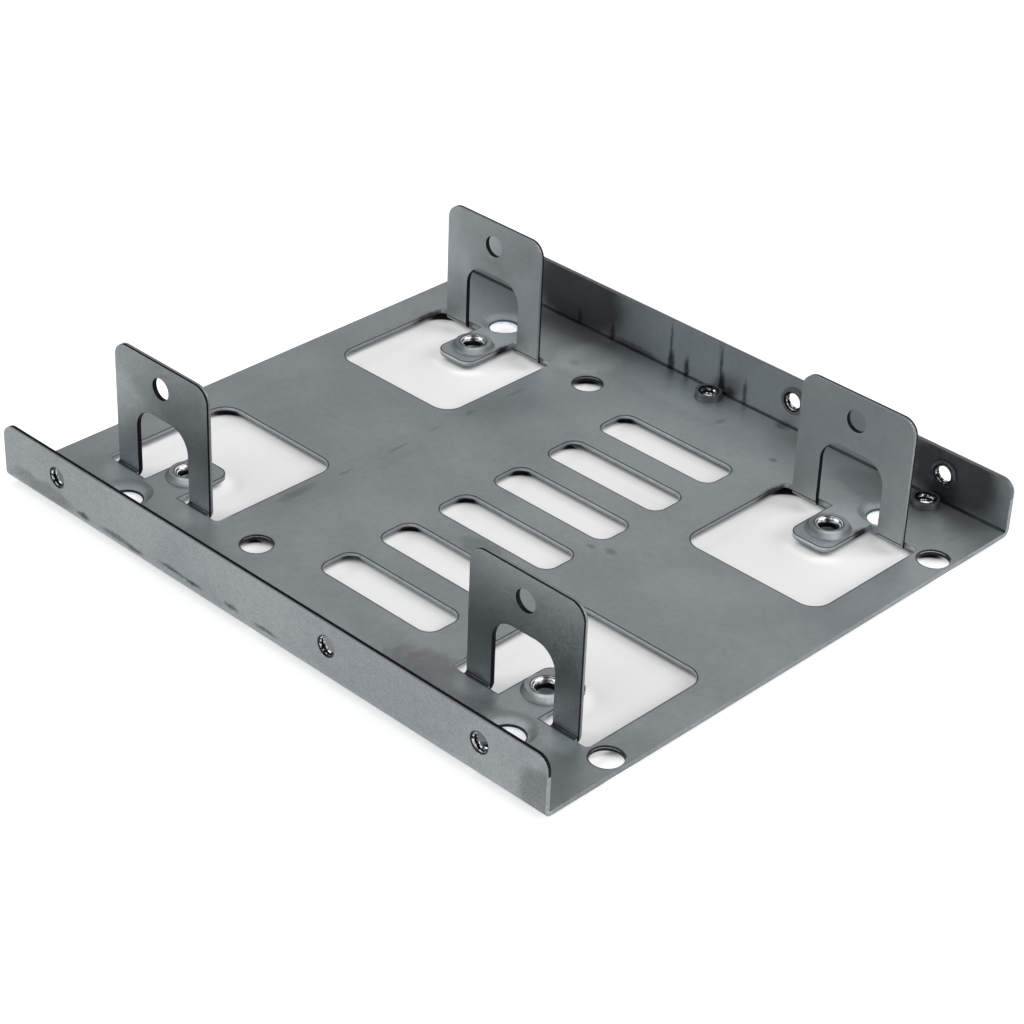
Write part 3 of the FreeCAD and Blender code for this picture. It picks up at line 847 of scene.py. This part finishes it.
# Threaded sleeves in the holes for bay screws, of a 6-32 thread
THREAD_PITCH = 0.794
THREAD_TIP_R = 1.32
THREAD_ROOT_R = 1.74
THREAD_LEAD = 0.18
THREAD_CREST = 1.3
THREAD_FLANK = 2.6
THREAD_STEPS = 44
THREAD_ROWS = 24
SLEEVE_INSET = 0.06


def thread_ridge(along, length, angle):
    """Height of the thread from root 0 to tip 1 at one place, with a lead-in at both ends."""
    turn = (along / THREAD_PITCH - angle / (2 * math.pi)) % 1.0
    ridge = min(1.0, THREAD_CREST - THREAD_FLANK * abs(turn - 0.5))
    return max(0.0, min(ridge, along / THREAD_LEAD, (length - along) / THREAD_LEAD))


def threaded_holes():
    """Start, axis and length of every sleeve."""
    holes = []
    for sign in (1, -1):
        for y in PLATE_HOLES_Y:
            start = Vector((sign * PLATE_HOLES_X, y + DRIVE_MIDDLE_Y, UNDERSIDE + SLEEVE_INSET))
            holes.append((start, Vector((0, 0, 1)), SHEET + PLATE_COLLAR - 2 * SLEEVE_INSET))
        for y in SIDE_HOLES_Y:
            start = Vector((sign * (HALF_WIDTH - SLEEVE_INSET), y + DRIVE_MIDDLE_Y, SIDE_HOLE_HEIGHT))
            holes.append((start, Vector((-sign, 0, 0)), SHEET + SIDE_COLLAR - 2 * SLEEVE_INSET))
    return holes


def make_threads(steel):
    corners = []
    ridges = []
    faces = []
    for start, axis, length in threaded_holes():
        side = axis.orthogonal().normalized()
        up = axis.cross(side)
        faces += ring_faces(len(corners), THREAD_ROWS + 1, THREAD_STEPS)
        for row in range(THREAD_ROWS + 1):
            along = length * row / THREAD_ROWS
            for step in range(THREAD_STEPS):
                angle = 2 * math.pi * step / THREAD_STEPS
                out = math.cos(angle) * side + math.sin(angle) * up
                ridge = thread_ridge(along, length, angle)
                radius = THREAD_ROOT_R - (THREAD_ROOT_R - THREAD_TIP_R) * ridge
                ridges.append(ridge)
                corners.append((start + out * radius + axis * along) * MM)
    threads = add_piece("bay_threads", corners, faces, steel)
    threads.data.attributes.new("ridge", "FLOAT", "POINT").data.foreach_set("value", ridges)
    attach(threads, "root")


# Rolled lips inside the lugs: radius and height of the opening's mouth and throat, and its end
LIP_MOUTH = (2.15, 2.89)
LIP_THROAT = (1.50, 1.75)
# Below its throat the lip runs on as a short tube in painted shade, which hides the floor under the lug
LIP_END_Z = 1.3
LIP_END_BEND = 0.1
LIP_WALL = 0.22
LIP_STEPS = 48
LIP_ROWS = 8


def lip_profile():
    mouth_r, mouth_z = LIP_MOUTH
    throat_r, throat_z = LIP_THROAT
    profile = []
    for row in range(LIP_ROWS + 1):
        turn = 0.5 * math.pi * row / LIP_ROWS
        radius = mouth_r - (mouth_r - throat_r) * math.sin(turn)
        profile.append((radius, throat_z + (mouth_z - throat_z) * math.cos(turn)))
    profile.append((throat_r, LIP_END_Z + LIP_END_BEND))
    profile.append((throat_r, LIP_END_Z))
    profile.append((throat_r + LIP_WALL, LIP_END_Z))
    profile.append((throat_r + LIP_WALL, throat_z))
    return profile


def make_lips(steel):
    corners = []
    faces = []
    profile = lip_profile()
    for side, end in CORNERS:
        middle = Vector((side * LUG_CENTRE[0], end * LUG_CENTRE[1] + DRIVE_MIDDLE_Y, 0))
        faces += ring_faces(len(corners), len(profile), LIP_STEPS)
        for radius, height in profile:
            for step in range(LIP_STEPS):
                angle = 2 * math.pi * step / LIP_STEPS
                out = Vector((radius * math.cos(angle), radius * math.sin(angle), height))
                corners.append((middle + out) * MM)
    lips = add_piece("lug_lips", corners, faces, steel)
    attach(lips, "root")


# Where the polished steel of the threads and lips is pale; elsewhere it is in painted shade
THREAD_PALE_RIDGE = (0.35, 0.9)
CREST_BREAK_SCALE = 2.2
CREST_BREAK_DETAIL = 1.0
CREST_BREAK_RANGE = (0.42, 0.58)
LIP_PALE_Z = (2.0, 2.25)
LIP_GAP = (0.95, 1.0)
LIP_GAP_SHARE = 0.25


def make_bright_steel(name, pale_share):
    """Steel polished by the punch or the tap, smoother than the sheet, with painted shade in its
    hollows.
    """
    material, tree = new_material(name)
    shader = add_node(tree, "ShaderNodeBsdfPrincipled")
    feed(tree, shader, "Base Color", mix_colour(tree, pale_share(tree), CUT_AND_SHADE_COLOUR, POLISHED_COLOUR))
    feed(tree, shader, "Metallic", 1.0)
    feed(tree, shader, "Roughness", POLISHED_ROUGHNESS)
    set_surface(tree, shader.outputs["BSDF"])
    return material


# Threads pale on their crests, broken up at random, with painted shade in the grooves
def thread_share(tree):
    ridge = add_node(tree, "ShaderNodeAttribute", attribute_name="ridge").outputs["Fac"]
    crest_breaks = noise(tree, part_point(tree), CREST_BREAK_SCALE, CREST_BREAK_DETAIL)
    return times(tree, spread(tree, ridge, *THREAD_PALE_RIDGE), spread(tree, crest_breaks, *CREST_BREAK_RANGE))


def lip_share(tree):
    """Pale round the mouth of a lug, with painted shade in its depth and in a gap straight behind that
    splits its highlight in two.
    """
    point = part_point(tree)
    gap = spread(tree, far_side(tree, point, LUG_CENTRE), *LIP_GAP, 1.0, LIP_GAP_SHARE)
    return times(tree, spread(tree, parts_of(tree, point)[2], *LIP_PALE_Z), gap)


# Floor: white, shaded under the plate, and black where a corner of an opening faces the front.
# These tones, like the dark walls of the openings, are painted after the photograph.
FLOOR_SIZE_M = 6.0
FLOOR_COLOUR = (0.93, 0.93, 0.93, 1.0)
FLOOR_SHADED = (0.7, 0.7, 0.7, 1.0)
FLOOR_DEEP = (0.05, 0.05, 0.05, 1.0)
SHADED_FROM = (0.1, 1.0)
DEEP_FROM = (0.8, 1.1)
DEEP_FACING = (0.80, 0.97)
SLOPE_STEP = 0.14
SLOPE_SCALE = 5.0
UNDER_TONGUE_X = (22.0, 33.0)
OPEN_FLOOR_FROM = 1.0

# Painted light: the floor's glow by the distance from the plate's edges, which lifts its shade by the
# bracket
AROUND_GLOW = 0.35
AROUND_RANGE = (-5.0, -2.2)
OPEN_GLOW = 0.04
EDGE_GLOW = 0.27
EDGE_GLOW_REACH = 2.5
EDGE_GLOW_FADE = (0.25, 1.5)
ROUND_GLOW = 0.15
ROUND_GLOW_FADE = (-0.5, 1.0)
RIGHT_GLOW = 0.06
RIGHT_GLOW_X = (18.0, 28.0)
RIGHT_GLOW_FADE = (-1.0, 0.5)
RIGHT_GLOW_FROM_ROW = 24.0
OUTER_GLOW = 0.20
OUTER_GLOW_REACH = 14.0


def floor_deep_mask(tree, point, covered, under_plate):
    """Painted black shadow on the floor seen under the plate at the corners of the openings that face
    the front.
    """
    ahead = vector_node(tree, "ADD", point, (SLOPE_STEP, SLOPE_STEP, 0.0))
    slope = times(tree, minus(tree, plate_distance(tree, ahead)[0], covered), SLOPE_SCALE)
    deep = times(tree, spread(tree, slope, *DEEP_FACING), spread(tree, covered, *DEEP_FROM), under_plate)
    return times(tree, deep, inverse(tree, within(tree, folded_place(tree, point)[0], *UNDER_TONGUE_X)))


def floor_glow(tree, point, covered, round_hole, beyond, under_plate):
    around = spread(tree, beyond, *AROUND_RANGE, 0.0, AROUND_GLOW)
    at_edge = spread(tree, covered, -EDGE_GLOW_REACH, 0.0, OPEN_GLOW, EDGE_GLOW)
    at_edge = times(tree, at_edge, fade(tree, covered, *EDGE_GLOW_FADE), under_plate)
    in_round = spread(tree, round_hole, *ROUND_GLOW_FADE, ROUND_GLOW, 0.0)
    on_right = spread(tree, parts_of(tree, point)[0], *RIGHT_GLOW_X, 0.0, RIGHT_GLOW)
    on_right = times(tree, on_right, fade(tree, covered, *RIGHT_GLOW_FADE), under_plate)
    on_right = times(tree, on_right, above(tree, folded_place(tree, point)[1], RIGHT_GLOW_FROM_ROW))
    wide = spread(tree, beyond, 0.0, OUTER_GLOW_REACH, OUTER_GLOW, 0.0)
    wide = times(tree, wide, spread(tree, beyond, *AROUND_RANGE))
    glow = around
    for share in (on_right, at_edge, in_round, wide):
        glow = plus(tree, glow, share)
    return glow


def glowing_surface(tree, colour, glow):
    diffuse = add_node(tree, "ShaderNodeBsdfDiffuse")
    feed(tree, diffuse, "Color", colour)
    emission = add_node(tree, "ShaderNodeEmission")
    feed(tree, emission, "Strength", glow)
    both = add_node(tree, "ShaderNodeAddShader")
    feed(tree, both, 0, diffuse.outputs[0])
    feed(tree, both, 1, emission.outputs[0])
    return both.outputs[0]


def make_floor():
    """The open floor has a surface of its own, equal to the other there, which renders faster."""
    material, tree = new_material("floor_white")
    point = part_point(tree)
    covered, round_hole, beyond = plate_distance(tree, point)
    under_plate = fade(tree, beyond, *AROUND_RANGE)
    deep = floor_deep_mask(tree, point, covered, under_plate)
    colour = mix_colour(tree, spread(tree, covered, *SHADED_FROM), FLOOR_COLOUR, FLOOR_SHADED)
    colour = mix_colour(tree, deep, colour, FLOOR_DEEP)
    glow = floor_glow(tree, point, covered, round_hole, beyond, under_plate)
    by_bracket = glowing_surface(tree, colour, times(tree, glow, inverse(tree, deep)))
    wide = spread(tree, beyond, 0.0, OUTER_GLOW_REACH, OUTER_GLOW, 0.0)
    in_open = glowing_surface(tree, FLOOR_COLOUR, plus(tree, AROUND_GLOW, wide))
    choice = add_node(tree, "ShaderNodeMixShader")
    feed(tree, choice, 0, above(tree, beyond, OPEN_FLOOR_FROM))
    feed(tree, choice, 1, by_bracket)
    feed(tree, choice, 2, in_open)
    set_surface(tree, choice.outputs[0])
    half = FLOOR_SIZE_M / 2
    corners = [(-half, -half, 0), (half, -half, 0), (half, half, 0), (-half, half, 0)]
    add_piece("floor", corners, [(0, 1, 2, 3)], material, smooth=False)


# Soft lights of the studio: azimuth from +X towards +Y, elevation, inner and outer half angle, strength
SOFT_LIGHTS = (
    (290.0, 42.0, 12.0, 30.0, 3.6),
    (320.0, 36.0, 8.0, 22.0, 1.5),
    (140.0, 36.0, 10.0, 27.0, 2.6),
    (38.0, 48.0, 10.0, 30.0, 1.0),
    (205.0, 50.0, 10.0, 30.0, 0.8),
)
AMBIENT = 0.05
WHITE = (1.0, 1.0, 1.0, 1.0)


def direction_of(azimuth, elevation):
    turn = math.radians(azimuth)
    rise = math.radians(elevation)
    return (math.cos(turn) * math.cos(rise), math.sin(turn) * math.cos(rise), math.sin(rise))


def make_lights():
    world = bpy.data.worlds.new("studio")
    world.use_nodes = True
    tree = world.node_tree
    sky = add_node(tree, "ShaderNodeTexCoord").outputs["Generated"]
    strength = AMBIENT
    for azimuth, elevation, inner, outer, power in SOFT_LIGHTS:
        near = vector_node(tree, "DOT_PRODUCT", sky, direction_of(azimuth, elevation))
        low = math.cos(math.radians(outer))
        high = math.cos(math.radians(inner))
        strength = plus(tree, spread(tree, near, low, high, 0.0, power), strength)
    background = tree.nodes["Background"]
    feed(tree, background, "Color", WHITE)
    feed(tree, background, "Strength", strength)
    bpy.context.scene.world = world
    bpy.context.scene.view_settings.view_transform = "Standard"


make_camera()
dress_bracket(make_steel())
make_threads(make_bright_steel("tapped_steel", thread_share))
make_lips(make_bright_steel("rolled_steel", lip_share))
make_floor()
make_lights()
